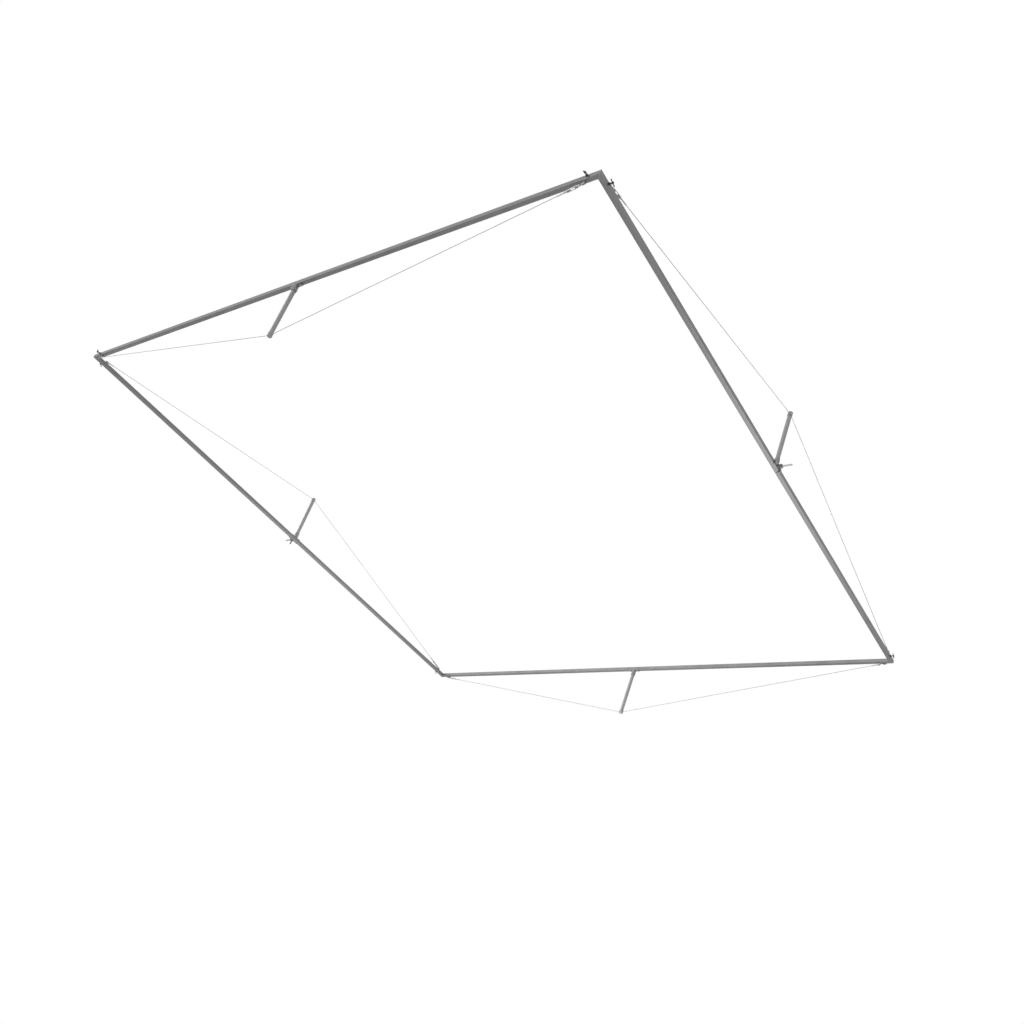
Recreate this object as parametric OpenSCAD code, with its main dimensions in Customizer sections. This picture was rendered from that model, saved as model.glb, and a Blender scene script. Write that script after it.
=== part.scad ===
// Butterfly frame: a square overhead frame of aluminium tube, each side stiffened by a post and a wire.
// It hangs on a stud at the middle of its left and right sides, and tilts about the two studs.
// Millimetres, +Z up. The origin is the middle of the frame, on the tilt axis, which is X.

/* [Frame] */
// Distance between the centre lines of opposite sides
side_len = 6096; // [2400:1:7400]
// How far the frame is tilted from level
tilt = 31; // [0:1:60]
// Outside width of the square rail tube
rail_w = 38.1; // [32:0.1:60]
// Wall of the rail tube
rail_wall = 3.2; // [2.4:0.1:5]
// Rounding of the rail tube's outer edges
rail_round = 2.5; // [1:0.1:3.5]
// Gap left where the two rails of one side meet
rail_gap = 0.6; // [0.2:0.1:2]

/* [Corners] */
// From the corner's centre to the end of each rail
corner_arm = 60; // [40:1:120]
// Length of each spigot inside its rail
spigot_len = 150; // [80:1:300]
// Wall of the spigots and of the corner's hollow
spigot_wall = 3.2; // [2:0.1:6]
// Gap on each side between a spigot or splice and the inside of its rail
slip_fit = 0.4; // [0.2:0.05:0.8]

/* [Splices] */
// Length of the splice tube inside the two rails of a side
splice_len = 400; // [200:1:800]
// Wall of the splice tube
splice_wall = 5; // [3:0.1:8]

/* [Lock screws] */
// From the corner's centre to the lock screw of each rail
lock_in = 90; // [85:1:180]
// Radius of the lock screw's shank
lock_r = 5; // [4:0.5:6]
// Height of the handle bar's axis above the rail's face
lock_stand = 33; // [24:1:60]
// Length of the handle bar
lock_bar_len = 60; // [40:1:90]
// Radius of the handle bar
lock_bar_r = 4.5; // [3:0.1:6]
// Radius of the hub that the bar passes through
lock_hub_r = 8; // [7:0.1:11]
// Height of the hub
lock_hub_h = 15; // [12:0.5:18]
// Radius of the threaded boss on the rail
boss_r = 11; // [9:0.1:14]
// Height of the threaded boss
boss_h = 10; // [6:0.5:14]
// Turn of the first handle about its screw
lock_turn_first = 118; // [0:1:180]
// Further turn from each handle to the next
lock_turn_step = 17; // [0:1:90]

/* [Posts] */
// Height of the wire's bend above the rail's centre line
wire_apex = 592; // [300:1:900]
// Radius of the round post tube
post_r = 19.05; // [12:0.05:22]
// Wall of the post tube
post_wall = 3; // [2:0.1:5]
// Radius of the socket that holds the post
socket_r = 24; // [22:0.5:32]
// Height of the socket above its plate
socket_h = 62; // [40:1:100]
// Gap between the post and its socket
post_fit = 0.25; // [0.1:0.05:0.5]
// Length of the socket's plate along the rails
plate_len = 132; // [126:1:200]
// Thickness of the socket's plate
plate_t = 5; // [3:0.5:10]
// Height of the cross bolt above the plate
post_bolt_up = 36; // [20:1:50]
// Depth of the flats that the cross bolt's head and nut sit on
socket_flat = 2; // [1:0.5:4]
// Gap round the head and nut on those flats
flat_gap = 1; // [0.5:0.5:3]

/* [Post heads] */
// Radius of the head on top of the post
head_r = 22; // [20:0.5:28]
// How far the head reaches above the wire's bend
head_above = 14; // [8:0.5:24]
// How far the head reaches below the wire's bend
head_below = 26; // [16:0.5:40]
// Length of the head's plug inside the post
plug_len = 35; // [15:1:80]
// Chamfer of the head's top edge
head_chamfer = 3; // [1:0.5:6]

/* [Wires] */
// Radius of the wire rope
wire_r = 2.4; // [1.5:0.1:4]
// Radius of the wire's bend over the post head
wire_bend_r = 90; // [50:1:200]
// How much the strands spread the wire where it bends
wire_spread = 0.05; // [0.03:0.01:0.1]
// Length of straight wire that spreads with the bend
wire_spread_len = 1.5; // [0.5:0.5:2]
// Gap between the wire and the hole in the head
wire_gap = 0.6; // [0.3:0.1:1.5]
// Gap between the wire and the sleeve that grips it
grip_gap = 0.05; // [0.02:0.01:0.1]

/* [Wire ends] */
// From the corner's centre to the anchor pin
anchor_in = 112; // [95:1:200]
// Height of the anchor pin above the rail's face
anchor_up = 19; // [16:0.5:30]
// Length of the lug's base plate
lug_base_len = 46; // [34:1:80]
// Width of the lug's base plate
lug_base_w = 28; // [16:1:30]
// Thickness of the lug's base plate
lug_base_t = 4; // [3:0.5:6]
// Thickness of the lug's upright plate
lug_t = 6; // [4:0.5:10]
// Radius of the lug round the anchor pin
lug_r = 10; // [8:0.5:11]
// Half the lug's width where it meets its base plate
lug_foot = 14; // [12:0.5:17]
// Radius of the anchor pin
pin_r = 4; // [3:0.1:5]
// Gap between the anchor pin and its holes
pin_fit = 0.1; // [0.05:0.05:0.3]
// Radius of the anchor pin's head
pin_head_r = 6.5; // [5.5:0.5:10]
// Thickness of the anchor pin's head
pin_head_h = 2.5; // [1.5:0.5:5]
// How far the anchor pin's tail stands out of the fork
pin_tail = 6; // [5:0.5:12]
// Radius of the cross hole in the anchor pin's tail
pin_hole_r = 1; // [0.5:0.1:1.5]
// Radius of the fork round the anchor pin
fork_r = 8; // [7:0.5:10]
// Thickness of each cheek of the fork
fork_cheek = 4; // [3:0.5:8]
// Gap between the lug and each cheek
fork_gap = 0.4; // [0.2:0.1:1]
// Length of the fork's throat past the anchor pin
fork_throat = 15; // [13:0.5:25]
// Length of the solid part of the fork
fork_bridge = 8; // [5:0.5:15]
// Radius of the sleeve that is swaged on the wire
sleeve_r = 5.5; // [4.5:0.1:8]
// Length of the swaged sleeve
sleeve_len = 60; // [50:1:100]
// Length of wire inside the swaged sleeve
grip_len = 48; // [20:1:49]

/* [Turnbuckles] */
// Length of the turnbuckle's body
tb_len = 112; // [90:1:200]
// Radius of the body's end collars
tb_collar_r = 9; // [7:0.5:12]
// Length of each end collar
tb_collar_len = 15; // [10:0.5:25]
// Width of the body across its two bars
tb_w = 22; // [20:0.5:30]
// Width of the window between the bars
tb_window_w = 11; // [9:0.5:13]
// Thickness of the bars
tb_bar_t = 9; // [6:0.5:12]
// Radius of the threaded rods
rod_r = 4; // [3:0.5:5]
// How far each threaded rod reaches into the body
rod_in = 40; // [30:1:44]
// Free rod between the body and its fork or sleeve
rod_out = 14; // [12:0.5:30]
// Radius of the lock nuts across their corners
nut_r = 7.5; // [6:0.1:10]
// Thickness of the lock nuts
nut_h = 5; // [4:0.5:8]
// Gap between a lock nut and the turnbuckle's body
nut_gap = 0.5; // [0.3:0.1:1.5]

/* [Ears and studs] */
// Length of the ear's base plate along the rails
ear_base_len = 132; // [126:1:200]
// Thickness of the ear's base plate
ear_base_t = 8; // [7:0.5:12]
// Radius of the ear's boss
ear_boss_r = 20; // [17:0.5:24]
// Length of the ear's boss
ear_boss_len = 36; // [30:1:60]
// Radius of the stud's journal in the boss
journal_r = 9; // [8.5:0.5:11]
// Radius of the stud's free end
stud_r = 7.94; // [7.5:0.01:8.4]
// Length of the stud's free end
stud_len = 90; // [60:1:130]
// Radius of the stud's inner flange
flange_r = 13; // [12:0.5:15]
// Thickness of the stud's inner flange
flange_t = 4; // [3:0.5:6]
// Width of the groove near the stud's tip
groove_w = 8; // [4:0.5:12]
// Depth of that groove
groove_deep = 1.6; // [0.5:0.1:3]
// From the stud's tip to the groove
groove_in = 12; // [8:0.5:20]
// Chamfer of the stud's tip
stud_chamfer = 1.5; // [0.5:0.5:3]

/* [Fasteners] */
// Radius of the screws in the sockets, ears and posts
screw_r = 4; // [3:0.5:5]
// Radius of the hexagon heads and nuts across their corners
hex_r = 7.5; // [6:0.1:9]
// Height of the hexagon heads
hex_h = 5.3; // [3:0.1:7]
// From the side's middle to the nearer screw of each rail
screw_near = 36; // [34:0.5:40]
// From the nearer screw to the farther one
screw_step = 18; // [16:0.5:22]
// How far a screw reaches past the splice's wall
screw_past = 2; // [0:0.5:4]
// Gap round a screw in a plain hole
screw_clear = 0.3; // [0.1:0.1:0.6]
// Gap round a screw in its own thread
thread_fit = 0.05; // [0.02:0.01:0.1]
// Gap between a turning part and its bore
run_fit = 0.06; // [0.03:0.01:0.1]
// Gap between faces that turn on each other
face_gap = 0.35; // [0.3:0.05:0.6]

/* [Hidden] */
$fn = 48;
half = side_len / 2;
face = rail_w / 2;
cut = 1;

// Sides in order round the frame, and the two ends of each: -1 is the local -X end, 1 the +X end
HIGH = 0;
RIGHT = 1;
LOW = 2;
LEFT = 3;
SIDES = [HIGH, RIGHT, LOW, LEFT];
ENDS = [-1, 1];

// Sizes that follow from the fits
spigot_w = rail_w - 2 * rail_wall - 2 * slip_fit;
hollow_w = spigot_w - 2 * spigot_wall;
rail_len = half - corner_arm - rail_gap / 2;
screw_xs = [screw_near, screw_near + screw_step];
screw_end = face - rail_wall - slip_fit - splice_wall - screw_past;
lock_x = half - lock_in;
lock_tip = face - rail_wall - slip_fit + face_gap;
anchor_x = half - anchor_in;
anchor_z = face + anchor_up;
post_bottom = face + plate_t + face_gap;
post_top = wire_apex - head_below;
plate_top = face + plate_t;
bolt_z = plate_top + post_bolt_up;
bolt_seat = socket_r - socket_flat;

// The wire's two straight runs meet the anchor pins and touch the bend over the head
wire_angle = atan((wire_apex - anchor_z) / anchor_x);
wire_run = anchor_x / cos(wire_angle) - wire_bend_r * tan(wire_angle);
bend_z = wire_apex - wire_bend_r / cos(wire_angle);

// Places along the wire's line, counted from the anchor pin
fork_end = fork_throat + fork_bridge;
fork_w = lug_t + 2 * fork_gap + 2 * fork_cheek;
tb_start = fork_end + rod_out;
tb_end = tb_start + tb_len;
plain_sleeve_end = fork_end + sleeve_len;
tb_sleeve_start = tb_end + rod_out;
tb_sleeve_end = tb_sleeve_start + sleeve_len;

// The ear, outward from the rail's centre line
ear_top = face + ear_base_t;
ear_end = ear_top + ear_boss_len;
ear_lock_y = ear_top + ear_boss_len / 2;
stud_start = ear_end + face_gap;
stud_end = stud_start + stud_len;

// Tilts the level frame about the stud axis
module tilted() {
    rotate([-tilt, 0, 0]) children();
}

// Puts a side's own axes in place: X along the side, Y outwards, Z towards its post.
// The posts of the left and right sides stand on the frame's upper face, the other two on its lower face.
module on_side(k) {
    tilted() {
        if (k == HIGH) translate([0, -half, 0]) rotate([180, 0, 0]) children();
        if (k == RIGHT) translate([half, 0, 0]) rotate([0, 0, -90]) children();
        if (k == LOW) translate([0, half, 0]) rotate([0, 180, 0]) children();
        if (k == LEFT) translate([-half, 0, 0]) rotate([0, 0, 90]) children();
    }
}

// Draws a piece of the +X half of a side, or its mirror image at the other end
module at_end(e) {
    mirror([e < 0 ? 1 : 0, 0, 0]) children();
}

// Turns a piece drawn along +X onto the wire's line, from the anchor pin towards the post head
module on_wire_line(e) {
    translate([e * anchor_x, 0, anchor_z])
        rotate([0, 0, e < 0 ? 0 : 180])
            rotate([0, -wire_angle, 0])
                children();
}

// Solid round bar along +X
module rod_x(r, from, to) {
    translate([from, 0, 0]) rotate([0, 90, 0]) cylinder(r = r, h = to - from);
}

// Solid round bar along +Y
module rod_y(r, from, to) {
    translate([0, from, 0]) rotate([-90, 0, 0]) cylinder(r = r, h = to - from);
}

// Extrudes a profile along +X
module along_x(from, to) {
    translate([from, 0, 0]) rotate([90, 0, 90]) linear_extrude(to - from) children();
}

// Square profile with rounded edges
module round_square(w, r) {
    square([w - 2 * r, w], center = true);
    square([w, w - 2 * r], center = true);
    for (x = ENDS, y = ENDS) translate([x * (w / 2 - r), y * (w / 2 - r)]) circle(r);
}

// One arm of a corner, towards -X, with its mitred end and its spigot
module corner_arm_x() {
    intersection() {
        along_x(-corner_arm, face) round_square(rail_w, rail_round);
        translate([0, 0, -rail_w]) linear_extrude(2 * rail_w)
            polygon([
                [rail_w, rail_w], [-2 * corner_arm, rail_w], [-2 * corner_arm, -rail_w], [-rail_w, -rail_w]
            ]);
    }
    along_x(-corner_arm - spigot_len, -corner_arm + cut) square(spigot_w, center = true);
}

// Corner: a mitred elbow with a hollow spigot for each of its two rails
module corner(turn) {
    color("darkgray") tilted() rotate([0, 0, turn]) translate([half, half, 0])
        difference() {
            union() {
                corner_arm_x();
                mirror([1, -1, 0]) corner_arm_x();
                cube(rail_w - 2 * rail_round, center = true);
            }
            for (m = [0, 1])
                mirror([m, -m, 0])
                    along_x(-corner_arm - spigot_len - cut, hollow_w / 2) square(hollow_w, center = true);
        }
}

// Rail: half of a side, with its holes for the lock screw and for the screws at the middle
module rail(k, e) {
    color("darkgray") on_side(k) at_end(e)
        difference() {
            along_x(rail_gap / 2, rail_gap / 2 + rail_len) round_square(rail_w, rail_round);
            along_x(-cut, half) square(rail_w - 2 * rail_wall, center = true);
            translate([lock_x, 0, 0]) rod_y(lock_r + screw_clear, 0, rail_w);
            for (x = screw_xs) translate([x, 0, 0]) cylinder(r = screw_r + screw_clear, h = rail_w);
            if (k == LEFT || k == RIGHT)
                for (x = screw_xs) translate([x, 0, 0]) rod_y(screw_r + screw_clear, 0, rail_w);
        }
}

// Splice: the tube inside the two rails of a side, tapped for the screws
module splice(k) {
    color("silver") on_side(k)
        difference() {
            along_x(-splice_len / 2, splice_len / 2) square(spigot_w, center = true);
            along_x(-splice_len, splice_len) square(spigot_w - 2 * splice_wall, center = true);
            for (e = ENDS, x = screw_xs)
                translate([e * x, 0, 0]) {
                    cylinder(r = screw_r + thread_fit, h = rail_w);
                    if (k == LEFT || k == RIGHT) rod_y(screw_r + thread_fit, 0, rail_w);
                }
        }
}

// Hexagon screw along -Z, its head sitting at the height seat and its point at the height tip
module hex_screw(seat, tip) {
    translate([0, 0, seat]) cylinder(r = hex_r, h = hex_h, $fn = 6);
    translate([0, 0, tip]) cylinder(r = screw_r, h = seat - tip + cut);
}

// All the screws at the middles of the sides, through sockets and ears into the splices
module middle_screws() {
    color("gainsboro") for (k = SIDES, e = ENDS, x = screw_xs) on_side(k) translate([e * x, 0, 0]) {
        hex_screw(plate_top, screw_end);
        if (k == LEFT || k == RIGHT) rotate([-90, 0, 0]) hex_screw(ear_top, screw_end);
    }
}

// Post socket: a plate across the joint of the two rails, with the round cup that holds the post
module post_socket(k) {
    color("darkgray") on_side(k)
        difference() {
            union() {
                translate([-plate_len / 2, -face, face]) cube([plate_len, rail_w, plate_t]);
                translate([0, 0, face]) cylinder(r = socket_r, h = plate_t + socket_h);
            }
            translate([0, 0, plate_top]) cylinder(r = post_r + post_fit, h = socket_h + cut);
            for (e = ENDS, x = screw_xs)
                translate([e * x, 0, 0]) cylinder(r = screw_r + screw_clear, h = plate_top + cut);
            translate([0, 0, bolt_z]) {
                rod_y(screw_r + screw_clear, -socket_r - cut, socket_r + cut);
                for (s = ENDS)
                    mirror([0, s < 0 ? 1 : 0, 0]) rod_y(hex_r + flat_gap, bolt_seat, socket_r + cut);
            }
        }
}

// Post: the round tube that stands on the rail and holds the wire away from it
module post(k) {
    color("darkgray") on_side(k)
        difference() {
            translate([0, 0, post_bottom]) cylinder(r = post_r, h = post_top - post_bottom);
            cylinder(r = post_r - post_wall, h = wire_apex);
            translate([0, 0, bolt_z]) rod_y(screw_r + screw_clear, -socket_r, socket_r);
        }
}

// Cross bolts that hold the posts in their sockets
module post_bolts() {
    color("gainsboro") for (k = SIDES) on_side(k) translate([0, 0, bolt_z])
        rotate([-90, 0, 0]) hex_screw(bolt_seat, -bolt_seat - hex_h - screw_past);
}

// Nuts of the cross bolts
module post_nuts() {
    color("gainsboro") for (k = SIDES) on_side(k) translate([0, 0, bolt_z])
        difference() {
            translate([0, -bolt_seat, 0]) rotate([90, 0, 0]) cylinder(r = hex_r, h = hex_h, $fn = 6);
            rod_y(screw_r + thread_fit, -bolt_seat - hex_h - cut, 0);
        }
}

// The wire's path over the head: one bend, and from it a straight run to each side
module wire_path(r, reach) {
    translate([0, 0, bend_z]) rotate([90, 0, 0]) rotate([0, 0, 90 - wire_angle])
        rotate_extrude(angle = 2 * wire_angle) translate([wire_bend_r, 0]) circle(r + wire_spread);
    on_wire_line(-1) rod_x(r, wire_run - reach[0], wire_run + wire_spread_len);
    on_wire_line(1) rod_x(r, wire_run - reach[1], wire_run + wire_spread_len);
}

// Post head: a turned plug on top of the post, drilled across for the wire
module post_head(k) {
    color("gray") on_side(k)
        difference() {
            union() {
                translate([0, 0, post_top])
                    cylinder(r = head_r, h = head_below + head_above - head_chamfer);
                translate([0, 0, wire_apex + head_above - head_chamfer])
                    cylinder(r1 = head_r, r2 = head_r - head_chamfer, h = head_chamfer);
                translate([0, 0, post_top - plug_len])
                    cylinder(r = post_r - post_wall - post_fit, h = plug_len + cut);
            }
            wire_path(wire_r + wire_gap, [head_r, head_r]);
        }
}

// Wire rope, from the plain fork terminal over the post head to the turnbuckle's terminal
module wire(k) {
    color("gainsboro") on_side(k)
        wire_path(wire_r, [wire_run - plain_sleeve_end + grip_len, wire_run - tb_sleeve_end + grip_len]);
}

// Anchor lugs, one welded on each end of each side, on the face where the post stands
module anchor_lugs() {
    color("darkgray") for (k = SIDES, e = ENDS) on_side(k) translate([e * anchor_x, 0, 0])
        difference() {
            union() {
                translate([-lug_base_len / 2, -lug_base_w / 2, face])
                    cube([lug_base_len, lug_base_w, lug_base_t]);
                rotate([90, 0, 0]) linear_extrude(lug_t, center = true) {
                    translate([0, anchor_z]) circle(lug_r);
                    polygon([
                        [-lug_foot, face + cut], [lug_foot, face + cut], [lug_r, anchor_z], [-lug_r, anchor_z]
                    ]);
                }
            }
            translate([0, 0, anchor_z]) rod_y(pin_r + pin_fit, -rail_w, rail_w);
        }
}

// Anchor pins, each with a head on one side and a cross hole for its clip on the other
module anchor_pins() {
    color("silver") for (k = SIDES, e = ENDS) on_side(k) translate([e * anchor_x, 0, anchor_z])
        difference() {
            union() {
                rod_y(pin_r, -fork_w / 2 - cut, fork_w / 2 + pin_tail);
                rod_y(pin_head_r, -fork_w / 2 - pin_head_h, -fork_w / 2);
            }
            translate([0, fork_w / 2 + pin_tail / 2, -rail_w]) cylinder(r = pin_hole_r, h = 2 * rail_w);
        }
}

// The fork that straddles a lug, open towards the corner
module fork() {
    difference() {
        rotate([90, 0, 0]) linear_extrude(fork_w, center = true) {
            circle(fork_r);
            translate([0, -fork_r]) square([fork_end, 2 * fork_r]);
        }
        translate([-rail_w, -lug_t / 2 - fork_gap, -rail_w])
            cube([rail_w + fork_throat, lug_t + 2 * fork_gap, 2 * rail_w]);
        rod_y(pin_r + pin_fit, -fork_w, fork_w);
    }
}

// Sleeve swaged on the wire, closed at its near end
module sleeve(from) {
    difference() {
        rod_x(sleeve_r, from, from + sleeve_len);
        rod_x(wire_r + grip_gap, from + sleeve_len - grip_len, from + sleeve_len + cut);
    }
}

// Fork terminals on the ends of the wires that have no turnbuckle
module fork_terminals() {
    color("gainsboro") for (k = SIDES) on_side(k) on_wire_line(-1) {
        fork();
        sleeve(fork_end);
    }
}

// Jaw screws of the turnbuckles, from the anchor pins
module jaw_screws() {
    color("gainsboro") for (k = SIDES) on_side(k) on_wire_line(1) {
        fork();
        rod_x(rod_r, fork_end - cut, tb_start + rod_in);
    }
}

// Threaded terminals of the turnbuckles, on the wires
module stud_terminals() {
    color("gainsboro") for (k = SIDES) on_side(k) on_wire_line(1) {
        rod_x(rod_r, tb_end - rod_in, tb_sleeve_start + cut);
        sleeve(tb_sleeve_start);
    }
}

// Lock nuts on both rods of each turnbuckle
module lock_nuts() {
    color("silver") for (k = SIDES, x = [tb_start - nut_gap - nut_h, tb_end + nut_gap])
        on_side(k) on_wire_line(1)
            difference() {
                translate([x, 0, 0]) rotate([0, 90, 0]) cylinder(r = nut_r, h = nut_h, $fn = 6);
                rod_x(rod_r + thread_fit, x - cut, x + nut_h + cut);
            }
}

// Turnbuckle body: two bars between two threaded collars, turned about the wire's line
module turnbuckle(k) {
    color("silver") on_side(k) on_wire_line(1)
        difference() {
            union() {
                rod_x(tb_collar_r, tb_start, tb_start + tb_collar_len);
                rod_x(tb_collar_r, tb_end - tb_collar_len, tb_end);
                translate([tb_start + cut, -tb_w / 2, -tb_bar_t / 2])
                    cube([tb_len - 2 * cut, tb_w, tb_bar_t]);
            }
            translate([tb_start + tb_collar_len, -tb_window_w / 2, -rail_w])
                cube([tb_len - 2 * tb_collar_len, tb_window_w, 2 * rail_w]);
            rod_x(rod_r + run_fit, tb_start - cut, tb_end + cut);
        }
}

// Threaded bosses of the lock screws, welded on the outer faces of the rails
module lock_screw_bosses() {
    color("dimgray") for (k = SIDES, e = ENDS) on_side(k) translate([e * lock_x, 0, 0])
        difference() {
            rod_y(boss_r, face, face + boss_h);
            rod_y(lock_r + run_fit, 0, rail_w);
        }
}

// Screw with a T handle along +Z, from its point to the axis of the handle bar
module t_screw(tip, bar, turn) {
    translate([0, 0, tip]) cylinder(r = lock_r, h = bar - tip);
    translate([0, 0, bar - lock_hub_h / 2]) cylinder(r = lock_hub_r, h = lock_hub_h);
    translate([0, 0, bar]) rotate([0, 0, turn]) {
        rod_x(lock_bar_r, -lock_bar_len / 2 + lock_bar_r, lock_bar_len / 2 - lock_bar_r);
        for (e = ENDS) translate([e * (lock_bar_len / 2 - lock_bar_r), 0, 0]) sphere(lock_bar_r);
    }
}

// Lock screw of one rail end: it presses the corner's spigot against the inside of the rail
module lock_screw(k, e) {
    turn = lock_turn_first + lock_turn_step * (2 * k + (e + 1) / 2);
    color("dimgray") on_side(k) translate([e * lock_x, 0, 0]) rotate([-90, 0, 0])
        t_screw(lock_tip, face + lock_stand, turn);
}

// Ear: a plate on the outer face of a side's middle, with the boss that the stud turns in.
// Both are flat on top, clear of the post's socket.
module ear(k) {
    color("darkgray") on_side(k)
        difference() {
            union() {
                translate([-ear_base_len / 2, face, -face]) cube([ear_base_len, ear_base_t, rail_w]);
                rod_y(ear_boss_r, face, ear_end);
                translate([0, ear_lock_y, -ear_boss_r - boss_h])
                    cylinder(r = boss_r, h = ear_boss_r + boss_h);
            }
            rod_y(journal_r + run_fit, 0, ear_end + cut);
            rod_y(flange_r + face_gap, 0, face + flange_t + 2 * face_gap);
            translate([-ear_base_len, 0, face - face_gap]) cube([2 * ear_base_len, 2 * ear_end, rail_w]);
            translate([0, ear_lock_y, -ear_boss_r - boss_h - cut])
                cylinder(r = lock_r + run_fit, h = ear_boss_r + boss_h + cut);
            for (e = ENDS, x = screw_xs)
                translate([e * x, 0, 0]) rod_y(screw_r + screw_clear, 0, ear_top + cut);
        }
}

// Lock screw of an ear: it presses on the stud's journal and holds the tilt
module ear_lock_screw(k) {
    color("dimgray") on_side(k) translate([0, ear_lock_y, 0]) rotate([180, 0, 0])
        t_screw(journal_r + face_gap, ear_boss_r + lock_stand, lock_turn_first);
}

// Stud: turned in one piece, held in the ear by its inner flange and gripped at its outer end
module stud(k) {
    color("gainsboro") on_side(k)
        difference() {
            union() {
                rod_y(flange_r, face + face_gap, face + face_gap + flange_t);
                rod_y(journal_r, face + face_gap, stud_start);
                rod_y(stud_r, face + face_gap, stud_end - stud_chamfer);
                translate([0, stud_end - stud_chamfer, 0]) rotate([-90, 0, 0])
                    cylinder(r1 = stud_r, r2 = stud_r - stud_chamfer, h = stud_chamfer);
            }
            difference() {
                rod_y(stud_r + cut, stud_end - groove_in - groove_w, stud_end - groove_in);
                rod_y(stud_r - groove_deep, stud_start, stud_end);
            }
        }
}

corner(180);  // high_left_corner
corner(270);  // high_right_corner
corner(0);  // low_right_corner
corner(90);  // low_left_corner
rail(HIGH, -1);  // high_rail_left
rail(HIGH, 1);  // high_rail_right
rail(RIGHT, -1);  // right_rail_low
rail(RIGHT, 1);  // right_rail_high
rail(LOW, -1);  // low_rail_right
rail(LOW, 1);  // low_rail_left
rail(LEFT, -1);  // left_rail_high
rail(LEFT, 1);  // left_rail_low
splice(HIGH);  // high_splice
splice(RIGHT);  // right_splice
splice(LOW);  // low_splice
splice(LEFT);  // left_splice
post_socket(HIGH);  // high_post_socket
post_socket(RIGHT);  // right_post_socket
post_socket(LOW);  // low_post_socket
post_socket(LEFT);  // left_post_socket
post(HIGH);  // high_post
post(RIGHT);  // right_post
post(LOW);  // low_post
post(LEFT);  // left_post
post_head(HIGH);  // high_post_head
post_head(RIGHT);  // right_post_head
post_head(LOW);  // low_post_head
post_head(LEFT);  // left_post_head
wire(HIGH);  // high_wire
wire(RIGHT);  // right_wire
wire(LOW);  // low_wire
wire(LEFT);  // left_wire
turnbuckle(HIGH);  // high_turnbuckle
turnbuckle(RIGHT);  // right_turnbuckle
turnbuckle(LOW);  // low_turnbuckle
turnbuckle(LEFT);  // left_turnbuckle
lock_screw(HIGH, -1);  // high_left_lock_screw
lock_screw(HIGH, 1);  // high_right_lock_screw
lock_screw(RIGHT, -1);  // right_low_lock_screw
lock_screw(RIGHT, 1);  // right_high_lock_screw
lock_screw(LOW, -1);  // low_right_lock_screw
lock_screw(LOW, 1);  // low_left_lock_screw
lock_screw(LEFT, -1);  // left_high_lock_screw
lock_screw(LEFT, 1);  // left_low_lock_screw
ear(LEFT);  // left_ear
ear(RIGHT);  // right_ear
ear_lock_screw(LEFT);  // left_ear_lock_screw
ear_lock_screw(RIGHT);  // right_ear_lock_screw
stud(LEFT);  // left_stud
stud(RIGHT);  // right_stud
lock_screw_bosses();
anchor_lugs();
anchor_pins();
fork_terminals();
jaw_screws();
stud_terminals();
lock_nuts();
middle_screws();
post_bolts();
post_nuts();
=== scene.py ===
import math

import bpy
import numpy as np
from mathutils import Matrix


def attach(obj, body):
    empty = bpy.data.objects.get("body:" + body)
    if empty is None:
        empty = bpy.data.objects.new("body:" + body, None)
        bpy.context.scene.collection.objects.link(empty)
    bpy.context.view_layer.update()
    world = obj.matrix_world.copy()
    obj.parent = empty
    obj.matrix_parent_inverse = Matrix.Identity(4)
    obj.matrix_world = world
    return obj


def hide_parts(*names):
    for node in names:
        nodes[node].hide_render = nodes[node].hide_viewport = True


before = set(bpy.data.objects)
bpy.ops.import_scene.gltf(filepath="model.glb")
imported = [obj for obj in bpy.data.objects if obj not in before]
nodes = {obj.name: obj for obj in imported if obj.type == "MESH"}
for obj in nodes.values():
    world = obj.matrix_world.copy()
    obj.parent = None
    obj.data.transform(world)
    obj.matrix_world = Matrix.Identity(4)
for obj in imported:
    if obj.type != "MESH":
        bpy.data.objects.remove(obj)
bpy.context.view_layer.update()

# Camera
#
# A square frame seen from below its level and in front of its high right corner, 1.45 m above the floor. The
# view is all but level, and the picture's middle is shifted up to the frame.
camera_at = (7.379, -9.1136, -2.0036)
yaw, pitch, roll = (math.radians(a) for a in (-40.125, 0.321, -0.468))

level_right = np.array([math.cos(yaw), -math.sin(yaw), 0])
ahead = np.array([math.sin(yaw) * math.cos(pitch), math.cos(yaw) * math.cos(pitch), math.sin(pitch)])
level_up = np.cross(level_right, ahead)
right = math.cos(roll) * level_right + math.sin(roll) * level_up
up = math.cos(roll) * level_up - math.sin(roll) * level_right

camera_data = bpy.data.cameras.new("view")
camera_data.lens = 40.70
camera_data.sensor_width = 36
camera_data.shift_x = 0.0376
camera_data.shift_y = 0.1841
camera_data.clip_end = 500
camera = bpy.data.objects.new("view", camera_data)
camera.matrix_world = Matrix([
    [right[i], up[i], -ahead[i], camera_at[i]] for i in range(3)
] + [[0, 0, 0, 1]])
bpy.context.scene.collection.objects.link(camera)
bpy.context.scene.camera = camera
bpy.context.scene.view_settings.view_transform = "Standard"

# Floor and light
#
# The frame hangs over a pale floor, 3.45 m below its tilt axis. A wide soft lamp shines from high at the
# front left. Three softboxes near the floor shine up at the right, left and low side, so that their
# undersides are light and the high side's is dark.
floor_z = -3.45
floor_radius = 60
ambient = 0.10
floor_tone = "#8c8c8c"
floor_glow = 0.94


def srgb(code):
    """A hex colour as linear red, green, blue and 1: each channel c is ((c + 0.055) / 1.055) ** 2.4."""
    c = np.array([int(code[i:i + 2], 16) for i in (1, 3, 5)]) / 255
    return (*np.where(c <= 0.04045, c / 12.92, ((c + 0.055) / 1.055) ** 2.4), 1.0)


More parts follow.
